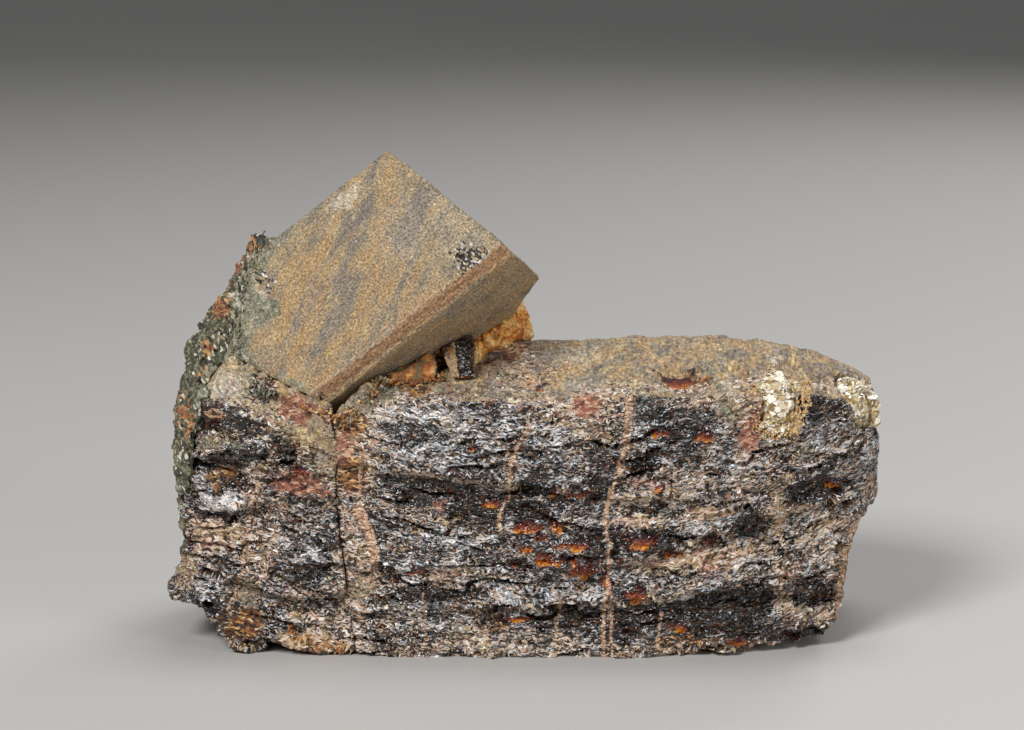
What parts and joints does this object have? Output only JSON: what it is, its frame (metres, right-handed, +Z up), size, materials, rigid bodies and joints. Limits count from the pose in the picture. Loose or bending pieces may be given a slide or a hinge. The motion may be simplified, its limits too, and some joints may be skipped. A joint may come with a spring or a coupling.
{
  "type": "aeschynite mineral specimen",
  "caption": "Cabinet mineral specimen: a stout dark crystal lying on its side with a chisel-ended crystal leaning back on it, rock matrix and mica.",
  "frame": {"origin": "centre of the bounding box, on the surface that the specimen rests on", "axes": "+X along the lying crystal towards its mica end, +Y away from its broken front, +Z up"},
  "size_m": [0.073, 0.035, 0.0505],
  "materials": {
    "broken_aeschynite": "hackly fresh fracture, near black with a bright vitreous to sub-metallic glint, dusty tan in the hollows",
    "skinned_aeschynite": "matt, fine-grained grey to tan weathered crystal skin with ochre streaks",
    "chlorite_rock": "rough grey-green fibrous rock with rusty patches",
    "stained_feldspar": "rough, iron-stained orange-brown feldspar",
    "muscovite": "pearly pale gold mica flakes"
  },
  "bodies": {
    "root": {"main_crystal": "broken_aeschynite", "left_crystal": "broken_aeschynite", "wedge_crystal": "broken_aeschynite", "leaning_crystal": "skinned_aeschynite", "chlorite_rock": "chlorite_rock", "feldspar_seat": "stained_feldspar", "angle_rock": "stained_feldspar", "mica_front": "muscovite", "mica_end": "muscovite"}
  },
  "joints": []
}
